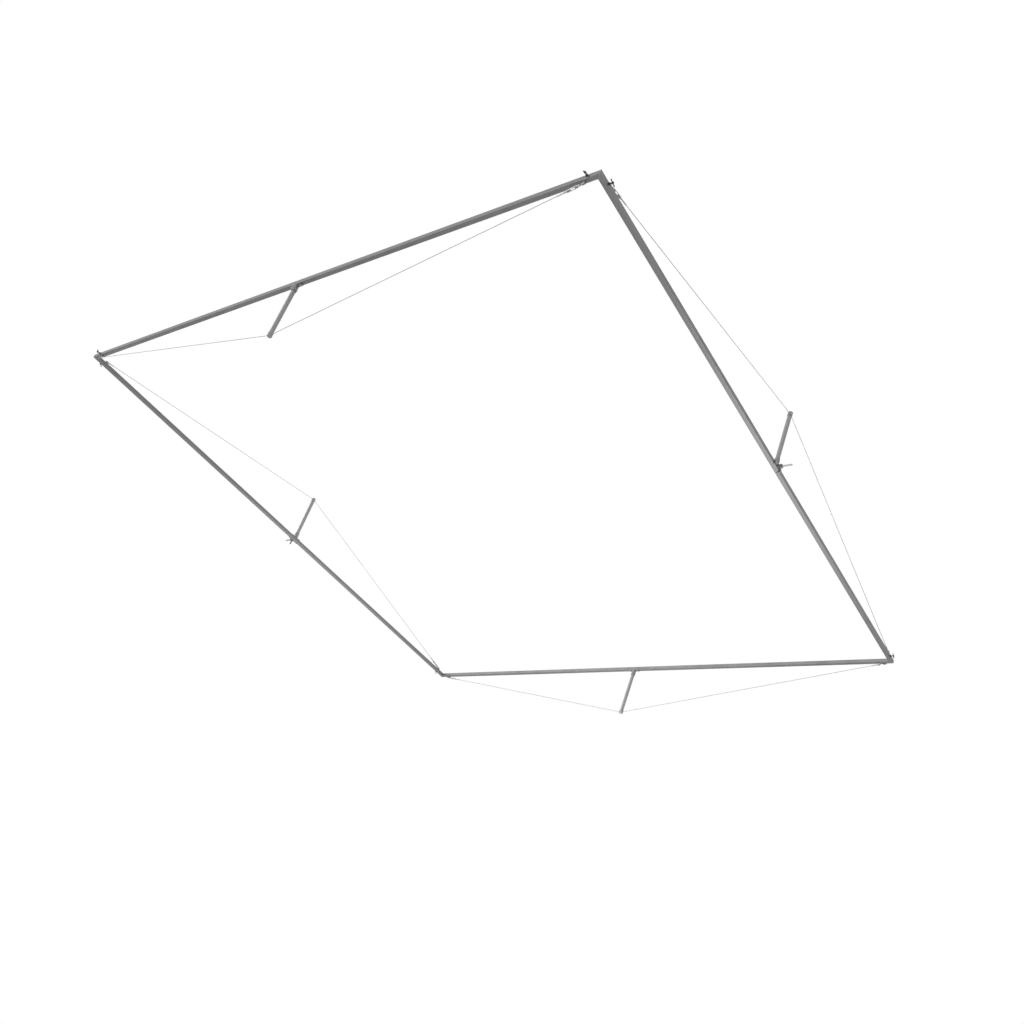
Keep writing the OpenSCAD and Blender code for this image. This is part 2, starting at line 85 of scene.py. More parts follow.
def add(tree, kind, inputs=(), **settings):
    """Adds a shader node with its settings.

    inputs pairs a socket with a value, or with the output or the node that feeds it. A node feeds it from its
    first output that is in use."""
    made = tree.nodes.new("ShaderNode" + kind)
    for name, value in settings.items():
        setattr(made, name, value)
    for socket, value in dict(inputs).items():
        if isinstance(value, bpy.types.Node):
            value = next(output for output in value.outputs if output.enabled)
        if isinstance(value, bpy.types.NodeSocket):
            tree.links.new(value, made.inputs[socket])
        else:
            made.inputs[socket].default_value = value
    return made


def seen_ray(tree):
    """1 for a ray that shows the background itself, straight, mirrored or through glass, else 0.

    It is the greatest of the ray's camera, glossy and transmission marks."""
    path = add(tree, "LightPath").outputs
    mirrored = {0: path["Is Glossy Ray"], 1: path["Is Transmission Ray"]}
    shown = {0: path["Is Camera Ray"], 1: add(tree, "Math", mirrored, operation="MAXIMUM")}
    return add(tree, "Math", shown, operation="MAXIMUM")


world = bpy.data.worlds.new("pale surroundings")
bpy.context.scene.world = world
world.use_nodes = True
sky = world.node_tree
sky.nodes.clear()
strength = add(sky, "MapRange", {"Value": seen_ray(sky), "To Min": ambient, "To Max": 1.0})
background = add(sky, "Background", {"Color": srgb("#ffffff"), "Strength": strength})
add(sky, "OutputWorld", {"Surface": background})

# Painted floor: it shows white, and keeps the frame's soft shadow
floor_paint = bpy.data.materials.new("pale floor paint")
floor_paint.use_nodes = True
tree = floor_paint.node_tree
tree.nodes.clear()
matt = add(tree, "BsdfDiffuse", {"Color": srgb(floor_tone)})
glow = add(tree, "Math", {0: seen_ray(tree), 1: floor_glow}, operation="MULTIPLY")
shine = add(tree, "Emission", {"Color": srgb("#ffffff"), "Strength": glow})
both = add(tree, "AddShader", {0: matt, 1: shine})
add(tree, "OutputMaterial", {"Surface": both})

rim_angles = np.linspace(0, 2 * math.pi, 64, endpoint=False)
floor_rim = np.stack([
    floor_radius * np.cos(rim_angles), floor_radius * np.sin(rim_angles), np.full_like(rim_angles, floor_z)
], -1)
floor_mesh = bpy.data.meshes.new("floor")
floor_mesh.from_pydata(floor_rim.tolist(), [], [list(range(len(floor_rim)))])
floor_mesh.materials.append(floor_paint)
floor = bpy.data.objects.new("floor", floor_mesh)
bpy.context.scene.collection.objects.link(floor)


def lamp(name, kind, at, shines, power):
    """A lamp at a point that shines along the direction shines.

    Its own Z points the other way, and its X is square to that and to the frame's Y."""
    z = -np.array(shines) / np.linalg.norm(shines)
    x = np.cross([0, 1, 0], z) / np.linalg.norm(np.cross([0, 1, 0], z))
    made = bpy.data.objects.new(name, bpy.data.lights.new(name, kind))
    made.data.energy = power
    made.matrix_world = Matrix([[x[i], np.cross(z, x)[i], z[i], at[i]] for i in range(3)] + [[0, 0, 0, 1]])
    bpy.context.scene.collection.objects.link(made)
    return made


key = lamp("high front left", "SUN", (0, 0, 0), (0.50, 0.60, -0.62), 0.65)
key.data.angle = math.radians(25)
softboxes = {
    "low right": ((3.2, -0.6, -3.2), (0.45, 0.25, 0.86), 50),
    "low left": ((-1.6, -0.6, -3.2), (-0.70, 0.25, 0.66), 50),
    "low back": ((0, 0.6, -3.3), (0, 0.75, 0.66), 18),
}
for name, (at, shines, power) in softboxes.items():
    softbox = lamp(name, "AREA", at, shines, power)
    softbox.data.shape = "DISK"
    softbox.data.size = 1.6
    softbox.data.spread = math.radians(115)
    softbox.visible_camera = False

# Rails
#
# Eight lengths of 38 mm square aluminium tube with 3.2 mm walls, two to a side, drawn through a die and left
# as they came. They slide over the spigots of the corners and over the splices in the middles of the sides.
half = 3.048
face = 0.01905
tilt = math.radians(31)


def metal(
    name, clean, mark, metallic, roughness, grain, share=0.5, stain=0.14, scratch=0.25, wear=False, depth=2e-5
):
    """A metal surface, from its clean colour to the colour of its marks.

    grain is the size in metres of the marks that its making left, along X, Y and Z once the frame is level,
    share how much of the mark's colour they bring, and depth how high they stand. stain is the size of the
    cloudy patches that handling leaves. scratch is how much the scratches show, which are drawn 42 mm long
    and 2.6 mm wide so that they can be seen. wear rubs the long edges of the square tubes bright."""
    material = bpy.data.materials.new(name)
    material.use_nodes = True
    tree = material.node_tree
    tree.nodes.clear()

    place = add(tree, "TexCoord").outputs["Object"]
    level = add(tree, "Mapping", {"Vector": place, "Rotation": (tilt, 0, 0)})
    along = add(tree, "Mapping", {"Vector": level, "Scale": [1 / size for size in grain]})
    lines = add(tree, "TexNoise", {"Vector": along, "Scale": 1.0, "Detail": 5.0, "Roughness": 0.62})
    cloud = add(tree, "TexNoise", {"Vector": level, "Scale": 1 / stain, "Detail": 4.0, "Roughness": 0.55})
    slant = add(tree, "Mapping", {"Vector": place, "Rotation": (0.4, 0.9, 0.7), "Scale": (24, 380, 380)})
    hairs = add(tree, "TexNoise", {"Vector": slant, "Scale": 1.0, "Detail": 1.0})

    # Each pattern rises along a smooth step, from 0 at its low value to its top at its high value
    steps = {
        "marks": (lines, 0.32, 0.68, share),
        "patches": (cloud, 0.42, 0.70, 0.45 * share),
        "scratches": (hairs, 0.70, 0.74, 1.0),
        "uneven": (lines, 0.2, 0.8, 0.16),
        "dulled": (cloud, 0.35, 0.75, 0.12),
    }
    if wear:
        # A point of a tube is near an edge where it lies far from both of the tube's middle planes
        x, y, z = add(tree, "SeparateXYZ", {0: level}).outputs
        sideways = []
        for across in (x, y):
            from_middle = add(tree, "Math", {0: across}, operation="ABSOLUTE")
            from_side = add(tree, "Math", {0: from_middle, 1: half}, operation="SUBTRACT")
            sideways.append(add(tree, "Math", {0: from_side}, operation="ABSOLUTE"))
        upright = add(tree, "Math", {0: z}, operation="ABSOLUTE")
        least = add(tree, "Math", {0: sideways[0], 1: sideways[1]}, operation="MINIMUM")
        least = add(tree, "Math", {0: least, 1: upright}, operation="MINIMUM")
        steps["edges"] = (least, 0.0162, 0.0184, 1.0)
        steps["rubbed"] = (cloud, 0.40, 0.60, 0.35)
    for pattern, (source, low, high, top) in steps.items():
        limits = {"Value": source, "From Min": low, "From Max": high, "To Max": top}
        steps[pattern] = add(tree, "MapRange", limits, interpolation_type="SMOOTHSTEP")

    marked = add(tree, "Mix", {0: steps["marks"], 6: srgb(clean), 7: srgb(mark)}, data_type="RGBA")
    stained = add(tree, "Mix", {0: steps["patches"], 6: marked, 7: srgb(mark)}, data_type="RGBA")
    bright = add(tree, "Math", {0: steps["scratches"], 1: scratch}, operation="MULTIPLY")
    if wear:
        worn = add(tree, "Math", {0: steps["edges"], 1: steps["rubbed"]}, operation="MULTIPLY")
        bright = add(tree, "Math", {0: bright, 1: worn}, operation="MAXIMUM")
    colour = add(tree, "Mix", {0: bright, 6: stained, 7: srgb("#c9c9c9")}, data_type="RGBA")

    rough = add(tree, "Math", {0: steps["uneven"], 1: roughness - 0.08}, operation="ADD")
    rough = add(tree, "Math", {0: rough, 1: steps["dulled"]}, operation="ADD")
    polished = add(tree, "Math", {0: bright, 1: 0.15}, operation="MULTIPLY")
    rough = add(tree, "Math", {0: rough, 1: polished}, operation="SUBTRACT")
    cut = add(tree, "Math", {0: steps["scratches"], 1: 0.6}, operation="MULTIPLY")
    height = add(tree, "Math", {0: lines, 1: cut}, operation="SUBTRACT")
    bump = add(tree, "Bump", {"Strength": 1.0, "Distance": depth, "Height": height})
    surface = {"Base Color": colour, "Metallic": metallic, "Roughness": rough, "Normal": bump}
    add(tree, "OutputMaterial", {"Surface": add(tree, "BsdfPrincipled", surface)})
    return material


def dress(material, *names):
    """Gives CAD nodes a material in place of their plain one."""
    for name in names:
        nodes[name].data.materials[0] = material


# Drawn aluminium: dull grey, with straight streaks from the die, drawn 3 mm wide so that they show, and with
# edges rubbed bright
drawn_x = metal(
    "drawn aluminium tube, across", "#9b9b9b", "#878787", 0.45, 0.42, (0.9, 0.003, 0.003), wear=True
)
drawn_y = metal(
    "drawn aluminium tube, along", "#9b9b9b", "#878787", 0.45, 0.42, (0.003, 0.9, 0.003), wear=True
)
dress(drawn_x, "high_rail_left", "high_rail_right", "low_rail_right", "low_rail_left")
dress(drawn_y, "right_rail_low", "right_rail_high", "left_rail_high", "left_rail_low")

# Corners
#
# Two short lengths of the same tube, mitred, welded and dressed with an abrasive disc, with a hollow spigot
# for each rail. The weld runs right round the mitre and stands about a millimetre proud.
weld_r = 0.0022
weld_ripple = 0.0026


def shell(name, parts, material, slot, body, *replaced, joined=False, smooth=38):
    """A piece made of closed skins. Each part is an array (ring, corner, xyz).

    Quads join each ring to the next, and a flat face closes the first and the last ring, or with joined,
    quads join the last ring to the first. The corners run anticlockwise round the way from ring to ring, so
    that the faces point outwards. Edges sharper than smooth degrees stay sharp."""
    points, faces, start = [], [], 0
    for part in parts:
        rings, corners = part.shape[:2]
        index = start + np.arange(rings * corners).reshape(rings, corners)
        here, ahead = (index, np.roll(index, -1, 0)) if joined else (index[:-1], index[1:])
        quads = np.stack([here, np.roll(here, -1, 1), np.roll(ahead, -1, 1), ahead], -1).reshape(-1, 4)
        faces += quads.tolist()
        if not joined:
            faces += [index[0, ::-1].tolist(), index[-1].tolist()]
        points.append(part.reshape(-1, 3))
        start += rings * corners
    mesh = bpy.data.meshes.new(name)
    mesh.from_pydata(np.concatenate(points).tolist(), [], faces)
    mesh.shade_smooth()
    mesh.set_sharp_from_angle(angle=math.radians(smooth))
    mesh.materials.append(material)
    piece = bpy.data.objects.new(name, mesh)
    bpy.context.scene.collection.objects.link(piece)
    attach(piece, body)
    if replaced:
        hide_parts(*replaced)
    return piece


def tube(path, axis, radius, corners, closed=False):
    """Rings round a path that lies in a plane with the normal axis.

    A ring's points are the path's point plus radius times (cos a axis + sin a (tangent x axis)), for the
    angles a of its corners. radius is one value, one for each point, or one for each point and corner."""
    path, axis = np.asarray(path, float), np.asarray(axis, float)
    tangent = np.roll(path, -1, 0) - np.roll(path, 1, 0) if closed else np.gradient(path, axis=0)
    tangent /= np.linalg.norm(tangent, axis=1, keepdims=True)
    side_way = np.cross(tangent, axis)
    a = np.linspace(0, 2 * math.pi, corners, endpoint=False)
    spokes = np.cos(a)[:, None] * axis + np.sin(a)[:, None] * side_way[:, None]
    by_ring = np.reshape(radius, (*np.shape(radius), *[1] * (2 - np.ndim(radius))))
    return path[:, None] + np.broadcast_to(by_ring, spokes.shape[:2])[..., None] * spokes


def walk(points, step, closed=False):
    """Points at equal steps along straight lines from point to point, and back to the first if closed."""
    points = np.asarray(points, float)
    if closed:
        points = np.vstack([points, points[:1]])
    run = np.concatenate([[0], np.cumsum(np.linalg.norm(np.diff(points, axis=0), axis=1))])
    count = max(3, round(run[-1] / step))
    at = np.linspace(0, run[-1], count, endpoint=False) if closed else np.linspace(0, run[-1], count + 1)
    return np.stack([np.interp(at, run, points[:, i]) for i in range(3)], -1)


def weld(points, axis, closed=False):
    """A weld bead along a path: a tube whose radius swells by a ninth once in every ripple."""
    path = walk(points, weld_ripple / 4, closed)
    swell = 1 + 0.11 * np.cos(np.arange(len(path)) * math.pi / 2)
    if not closed:
        swell[[0, -1]] = 0.45
    return tube(path, axis, weld_r * swell, 10, closed)


def tilted(points):
    """Points of the level frame turned about the stud axis, X, by the angle tilt into place."""
    u, v, n = np.moveaxis(np.asarray(points, float), -1, 0)
    return np.stack([u, math.cos(tilt) * v + math.sin(tilt) * n, math.cos(tilt) * n - math.sin(tilt) * v], -1)


# Dressed aluminium: short crossing marks of an 80 grit disc, drawn 2.5 mm wide so that they show, and a
# little lighter than the drawn tube
dressed = metal(
    "dressed aluminium", "#9f9f9f", "#8b8b8b", 0.45, 0.45, (0.012, 0.012, 0.0025), share=0.6, wear=True
)
dress(dressed, "high_left_corner", "high_right_corner", "low_right_corner", "low_left_corner")

# Welded aluminium: bright rippled metal with a soft satin shine and duller spots 2 mm across
bead_metal = metal(
    "aluminium weld bead", "#a6a6a6", "#8f8f8f", 0.55, 0.35, (0.002, 0.002, 0.002), stain=0.02, scratch=0.0
)

# The seam lies in the upright plane of the mitre. Each of its points is a distance outwards along the
# diagonal from the tube's centre line, and one upwards.
bead_top = face - 0.0012
bead_out = face * math.sqrt(2) - 0.0015
bead_in = -face * math.sqrt(2) - 0.0005
mitre = np.array([[bead_in, -bead_top], [bead_out, -bead_top], [bead_out, bead_top], [bead_in, bead_top]])
corner_welds = []
for sx, sy in ((-1, -1), (1, -1), (1, 1), (-1, 1)):
    diagonal = np.array([sx, sy, 0]) / math.sqrt(2)
    seam = np.array([sx * half, sy * half, 0]) + mitre[:, :1] * diagonal + mitre[:, 1:] * np.array([0, 0, 1])
    corner_welds.append(tilted(weld(seam, np.cross([0, 0, 1], diagonal), closed=True)))
shell("corner_mitre_welds", corner_welds, bead_metal, "corner_aluminium", "frame", joined=True, smooth=60)

# Splices
#
# A thick-walled square tube inside the two rails of each side, tapped for the screws that hold them. Only a
# line of it shows in the 0.6 mm gap between the rails. Its saw marks are drawn 4 mm wide so that they show.
sawn = metal("machined aluminium tube", "#b2b2b2", "#999999", 0.6, 0.35, (0.004, 0.004, 0.004), share=0.5)
dress(sawn, "high_splice", "right_splice", "low_splice", "left_splice")

# Lock screws and bosses
#
# Ten black steel screws with a tommy bar, M10 x 1.5: one through a welded boss at each rail end, against the
# spigot, and one in each ear, against the stud. Bar and hub are forged, and the black oxide has worn thin.
lock_in = 0.090
lock_out = 0.033
lock_x = half - lock_in
lock_tip = 0.0158
lock_bar_at = face + lock_out
boss_r = 0.011
lock_r = 0.005
lock_pitch = 0.0015
hub_half = 0.0075
bar_half = 0.030
bar_end_r = 0.0045
bar_mid_r = 0.0038
ear_t = 0.008
ear_lock_out = 0.018
ear_lock_y = face + ear_t + ear_lock_out
ear_lock_tip = 0.00935
ear_lock_bar_at = 0.053
first_turn = 118
turn_step = 17
side_order = ("high", "right", "low", "left")
end_names = {
    "high": {-1: "left", 1: "right"}, "right": {-1: "low", 1: "high"},
    "low": {-1: "right", 1: "left"}, "left": {-1: "high", 1: "low"},
}


def on_side(side, points):
    """Points of a side, X along it, Y outwards and Z towards its post, put in place on the tilted frame."""
    x, y, z = np.moveaxis(np.asarray(points, float), -1, 0)
    level = {
        "high": (x, -half - y, -z), "right": (half + y, -x, z),
        "low": (-x, half + y, -z), "left": (-half - y, x, z),
    }[side]
    return tilted(np.stack(level, -1))


def aimed(points, x_axis, z_axis, at=(0, 0, 0)):
    """Points with their own X turned along x_axis, their Z along z_axis, and their origin moved to at."""
    return points @ np.array([x_axis, np.cross(z_axis, x_axis), z_axis], float) + at


def turned(profile, corners=24, grow=1.0):
    """A turned skin: the profile's points (radius, height) carried round Z.

    grow is a factor on the radius, one for all corners or one for each."""
    profile = np.asarray(profile, float)
    a = np.linspace(0, 2 * math.pi, corners, endpoint=False)
    ring = np.stack([np.cos(a) * grow, np.sin(a) * grow, np.zeros(corners)], -1)
    return profile[:, :1, None] * ring + profile[:, 1:, None] * np.array([0, 0, 1])


def thread(start, end, radius, pitch, corners=24, hand=1, depth=0.6):
    """A threaded rod along Z, with both ends chamfered.

    The radius falls from its crest by depth times the pitch and rises again once in every pitch, as a zigzag
    of (height / pitch - hand * angle / a full turn)."""
    z = np.linspace(start, end, max(4, round((end - start) / pitch * 6)) + 1)[:, None]
    a = np.linspace(0, 1, corners, endpoint=False)[None, :]
    zigzag = np.abs(2 * ((z / pitch - hand * a) % 1) - 1)
    r = radius - depth * pitch * zigzag
    r = np.minimum(r, radius - depth * pitch + np.minimum(z - start, end - z))
    angle = 2 * math.pi * a
    return np.stack([r * np.cos(angle), r * np.sin(angle), np.broadcast_to(z, r.shape)], -1)


def t_screw(tip, bar):
    """Screw with a T handle along Z: a threaded shank, a rounded hub, and a bar along X.

    The bar's points lie bar_half * sin(u) from its middle, for u from almost -90 to 90 degrees. Its radius
    swells towards the ends along a smooth step, and closes there as a half ball."""
    shank = thread(tip, bar - hub_half + 0.0005, lock_r, lock_pitch)
    hub = turned([
        (0.0050, bar - 0.0080), (0.0068, bar - 0.0074), (0.0077, bar - 0.0064), (0.0080, bar - 0.0050),
        (0.0080, bar + 0.0046), (0.0077, bar + 0.0060), (0.0066, bar + 0.0071), (0.0042, bar + hub_half),
    ])
    u = np.linspace(-1, 1, 41)
    x = bar_half * np.sin(u * math.pi / 2 * 0.995)
    ball = np.sqrt(np.clip(1 - (np.clip(np.abs(x) - bar_half + bar_end_r, 0, None) / bar_end_r) ** 2, 0, 1))
    swell = np.clip((np.abs(x) - 0.017) / 0.006, 0, 1)
    r = (bar_mid_r + (bar_end_r - bar_mid_r) * swell * swell * (3 - 2 * swell)) * ball
    path = np.stack([x, np.zeros_like(x), np.full_like(x, bar)], -1)
    return [shank, hub, tube(path, (0, 0, 1), r, 16)]


# Black oxide on forged steel: near black and half matt, grey where hands and rails have rubbed it, with
# forging marks 6 mm across
blacked = metal(
    "black oxide steel, forged", "#4b4b4c", "#5f5f60", 0.3, 0.42, (0.006, 0.006, 0.006), stain=0.03,
    scratch=0.4,
)
for k, side in enumerate(side_order):
    for end in (-1, 1):
        angle = math.radians(first_turn + turn_step * (2 * k + (end + 1) // 2))
        bar_way = (math.cos(angle), 0, -math.sin(angle))
        place = f"{side}_{end_names[side][end]}"
        parts = [
            on_side(side, aimed(part, bar_way, (0, 1, 0), (end * lock_x, 0, 0)))
            for part in t_screw(lock_tip, lock_bar_at)
        ]
        node = f"{place}_lock_screw"
        shell(f"{place}_t_handle", parts, blacked, "lock_screw_black", node, node)
for side in ("left", "right"):
    bar_way = (math.cos(math.radians(first_turn)), -math.sin(math.radians(first_turn)), 0)
    parts = [
        on_side(side, aimed(part, bar_way, (0, 0, -1), (0, ear_lock_y, 0)))
        for part in t_screw(ear_lock_tip, ear_lock_bar_at)
    ]
    node = f"{side}_ear_lock_screw"
    shell(f"{side}_ear_t_handle", parts, blacked, "lock_screw_black", node, node)

# Black paint on the turned bosses: half matt, thin at the tool rings, which are drawn 1.2 mm apart so that
# they show. The weld round each foot is left bare.
boss_paint = metal(
    "black paint on turned boss", "#4e4e4f", "#626263", 0.1, 0.5, (0.004, 0.004, 0.0012), stain=0.03,
    scratch=0.3,
)
dress(boss_paint, "lock_screw_bosses")
ring = np.linspace(0, 2 * math.pi, 48, endpoint=False)
foot = np.stack([boss_r * np.cos(ring), np.full(48, face), boss_r * np.sin(ring)], -1)
boss_welds = [
    on_side(side, weld(foot + (end * lock_x, 0, 0), (0, 1, 0), closed=True))
    for side in side_order for end in (-1, 1)
]
shell("boss_welds", boss_welds, bead_metal, "welded_aluminium", "frame", joined=True, smooth=60)

# Post sockets
#
# An aluminium plate across the joint of each side's two rails, with a bored cup welded on it that holds the
# post. The bead runs where the cup stands on the plate; beside it the cup reaches past the plate.
plate_t = 0.005
plate_top = face + plate_t
socket_r = 0.024
socket_points = 24

# Machined aluminium: pale grey, with tool rings round the cup, drawn 1.5 mm apart so that they show
bored = metal(
    "machined aluminium", "#a8a8a8", "#909090", 0.5, 0.4, (0.02, 0.02, 0.0015), share=0.5, stain=0.08
)
dress(bored, "high_post_socket", "right_post_socket", "low_post_socket", "left_post_socket")

# The bead ends 0.03 radians short of the rail's edges on both sides
reach = math.asin(face / socket_r) - 0.03
bow = np.linspace(-reach, reach, socket_points)
arc = np.stack([socket_r * np.cos(bow), socket_r * np.sin(bow), np.full_like(bow, plate_top)], -1)
socket_welds = [
    on_side(side, weld(arc * (end, end, 1), (0, 0, 1))) for side in side_order for end in (-1, 1)
]
shell("socket_welds", socket_welds, bead_metal, "welded_aluminium", "frame", smooth=60)

# Middle screws
#
# Zinc plated hexagon screws, M8: four through each socket's plate into the splice, and four through each ear.
# Their heads are forged, with a turned washer face and a 30 degree chamfer.
hex_r = 0.0075
hex_h = 0.0053
screw_r = 0.004
screw_point = 0.001
washer_t = 0.0004
rail_wall = 0.0032
splice_gap = 0.0004
splice_wall = 0.005
screw_past = 0.002
screw_tip = face - rail_wall - splice_gap - splice_wall - screw_past
screw_places = [end * x for end in (-1, 1) for x in (0.036, 0.054)]
ear_top = face + ear_t

# A hexagon's radius round its outline, as a share of the radius at its corners
corner_angles = np.linspace(0, 360, 24, endpoint=False)
hexagon = math.cos(math.radians(30)) / np.cos(np.radians((corner_angles + 30) % 60 - 30))


def hex_rings(radius, low, high, bore=0.0):
    """A hexagon prism along Z, chamfered by a cone of 30 degrees at the top, and with a bore at both ends.

    A ring's radius is the hexagon's at each corner, and where the cone lies inside it, its height drops by
    the difference times tan 30."""
    flat = radius * math.cos(math.radians(30)) * 0.96
    drop = (radius * hexagon - flat) * math.tan(math.radians(30))
    rim = turned([(radius, 0)], grow=hexagon)
    inner = turned([(flat, 0)])
    lift = np.array([0, 0, 1.0])
    top = [rim + (high - drop)[:, None] * lift, inner + high * lift]
    if bore:
        bottom = [inner + low * lift, rim + (low + drop)[:, None] * lift]
        hole = [turned([(bore, 0)]) + z * lift for z in (high, low)]
        return np.concatenate(bottom + top + hole)
    washer = [turned([(flat, 0)]) + z * lift for z in (low, low + washer_t)]
    return np.concatenate(washer + [rim + (low + washer_t) * lift] + top)


def hex_screw(seat, tip):
    """Hexagon screw along Z: the shank with its chamfered point, then the head from the height seat."""
    shank = [(screw_r - screw_point, tip), (screw_r, tip + screw_point), (screw_r, seat + 0.0002)]
    return [turned(shank, 16), hex_rings(hex_r, seat, seat + hex_h)]


# Bright zinc plating: pale, faintly bluish silver, with forging marks just under a millimetre across
zinc = metal(
    "zinc plated steel", "#c3c5c8", "#9d9fa2", 0.85, 0.3, (0.0009, 0.0009, 0.0009), share=0.5,
    stain=0.012, scratch=0.1,
)
screws = []
for side in side_order:
    for x in screw_places:
        screws += [on_side(side, part + (x, 0, 0)) for part in hex_screw(plate_top, screw_tip)]
        if side in ("left", "right"):
            screws += [
                on_side(side, aimed(part, (1, 0, 0), (0, 1, 0), (x, 0, 0)))
                for part in hex_screw(ear_top, screw_tip)
            ]
shell("hex_screws_at_middles", screws, zinc, "fastener_zinc", "frame", "middle_screws", smooth=25)

# Posts and cross bolts
#
# Four posts of round 38 mm aluminium tube, drawn and cut square, each held in its socket by one M8 bolt right
# through it, with a nut on the other side.
bolt_up = 0.036
flat_depth = 0.002
bolt_z = plate_top + bolt_up
bolt_seat = socket_r - flat_depth
bolt_past_nut = 0.002
bolt_pitch = 0.00125

# Drawn aluminium: satin and lighter than the rails, with streaks along the post, drawn 4 mm wide to show
drawn_post = metal(
    "drawn aluminium post", "#b9b9b9", "#a5a5a5", 0.45, 0.4, (0.004, 0.004, 0.35), share=0.5, stain=0.1
)
dress(drawn_post, "high_post", "right_post", "low_post", "left_post")
bolts, nuts = [], []
for side in side_order:
    shank_end = -bolt_seat - hex_h - bolt_past_nut
    bolt = hex_screw(bolt_seat, -bolt_seat)
    bolt.append(thread(shank_end, -bolt_seat + screw_point, screw_r, bolt_pitch))
    bolts += [on_side(side, aimed(part, (1, 0, 0), (0, 1, 0), (0, 0, bolt_z))) for part in bolt]
    nut = hex_rings(hex_r, 0.0, hex_h, bore=screw_r + 5e-5)
    nuts.append(on_side(side, aimed(nut, (1, 0, 0), (0, -1, 0), (0, -bolt_seat, bolt_z))))
shell("cross_bolts", bolts, zinc, "fastener_zinc", "frame", "post_bolts", smooth=25)
shell("cross_bolt_nuts", nuts, zinc, "fastener_zinc", "frame", "post_nuts", joined=True, smooth=25)

# Post heads
#
# Turned aluminium plugs, a little wider than the post, drilled across on the wire's curve. The lathe left
# fine rings round them, drawn 1.2 mm apart so that they show.
lathe = metal(
    "turned aluminium", "#b6b6b6", "#9c9c9c", 0.5, 0.34, (0.05, 0.05, 0.0012), share=0.55, stain=0.05
)
dress(lathe, "high_post_head", "right_post_head", "low_post_head", "left_post_head")

# Wires
#
# Four galvanised wire ropes, 4.8 mm, six strands laid round a core with a lay of 30 mm. Each runs straight
# from the anchor at one corner up to its post head, bends through it, and runs down to the next corner.
anchor_in = 0.112
anchor_up = 0.019
anchor_x = half - anchor_in
anchor_z = face + anchor_up
apex = 0.592
wire_r = 0.0024
wire_lay = 0.030
wire_step = 0.003
wire_bend_r = 0.090
plain_end = 0.083
buckle_end = 0.223
grip = 0.048
rise = math.atan((apex - anchor_z) / anchor_x)
straight = anchor_x / math.cos(rise) - wire_bend_r * math.tan(rise)
bend_z = apex - wire_bend_r / math.cos(rise)


def rope(start, end):
    """Strands over the head. s runs along the wire from the bend's middle, and start is negative.

    The path is an arc of the bend's radius and from its ends two straight runs at the angle rise. Each ring
    is the outline of six circles round a core, with a radius of a third of the wire's, and the rings turn by
    a full turn in every lay."""
    s = np.linspace(start, end, round((end - start) / wire_step) + 1)
    bend = np.clip(s / wire_bend_r, -rise, rise)
    past = s - bend * wire_bend_r
    x = wire_bend_r * np.sin(bend) + past * np.cos(bend)
    z = bend_z + wire_bend_r * np.cos(bend) - past * np.sin(bend)
    path = np.stack([x, np.zeros_like(x), z], -1)
    tangent = np.stack([np.cos(bend), np.zeros_like(x), -np.sin(bend)], -1)
    third = wire_r / 3
    a = np.radians(np.tile([-30, -15, 0, 15], 6))
    outline = 2 * third * np.cos(a) + np.sqrt(np.clip(third ** 2 - (2 * third * np.sin(a)) ** 2, 0, None))
    angle = np.linspace(0, 2 * math.pi, 24, endpoint=False) + (2 * math.pi * s / wire_lay)[:, None]
    across = np.array([0.0, 1.0, 0.0])
    away = np.cross(tangent, across)
    spokes = np.cos(angle)[..., None] * across + np.sin(angle)[..., None] * away[:, None]
    return path[:, None] + outline[:, None] * spokes


# Galvanised wire: light grey zinc, with duller spots 4 mm across
galvanised = metal(
    "galvanised wire rope", "#bfc1c3", "#9b9d9f", 0.6, 0.4, (0.004, 0.004, 0.004), share=0.6, stain=0.05,
    scratch=0.0,
)
reach_of_arc = wire_bend_r * rise
for side in side_order:
    strands = rope(
        -reach_of_arc - straight + plain_end - grip, reach_of_arc + straight - buckle_end + grip
    )
    wire = [on_side(side, strands)]
    shell(f"{side}_wire_strands", wire, galvanised, "wire_rope", "frame", f"{side}_wire", smooth=70)

# Anchor lugs, pins and clips
#
# At each end of a wire a lug of 6 mm plate, welded on a base plate and that on the rail. A steel pin goes
# through lug and fork, and a spring clip through the pin's tail keeps it there.
lug_half_len = 0.023
lug_half_w = 0.014
lug_t = 0.006
lug_base_t = 0.004
fork_half_w = 0.0074
pin_r = 0.004
pin_head_r = 0.0065
pin_head_h = 0.0025
pin_tail = 0.006
clip_r = 0.0009
lug_foot_half = 0.0135

# Welded plate: grey and matt, with grinding marks 6 mm across
cut_plate = metal(
    "welded aluminium plate", "#9e9e9e", "#848484", 0.45, 0.45, (0.006, 0.006, 0.006), share=0.55, stain=0.05
)
dress(cut_plate, "anchor_lugs")

plate_edge = np.array([
    (x * lug_half_len, y * lug_half_w, face) for x, y in ((-1, -1), (1, -1), (1, 1), (-1, 1))
])
foot_line = np.array([(x, lug_t / 2, face + lug_base_t) for x in (-lug_foot_half, lug_foot_half)])
edge_welds, foot_welds = [], []
for side in side_order:
    for end in (-1, 1):
        at = (end * anchor_x, 0, 0)
        edge_welds.append(on_side(side, weld(plate_edge + at, (0, 0, 1), closed=True)))
        foot_welds += [on_side(side, weld(foot_line * (1, y, 1) + at, (0, 0, 1))) for y in (-1, 1)]
shell("lug_base_welds", edge_welds, bead_metal, "welded_aluminium", "frame", joined=True, smooth=60)
shell("lug_foot_welds", foot_welds, bead_metal, "welded_aluminium", "frame", smooth=60)

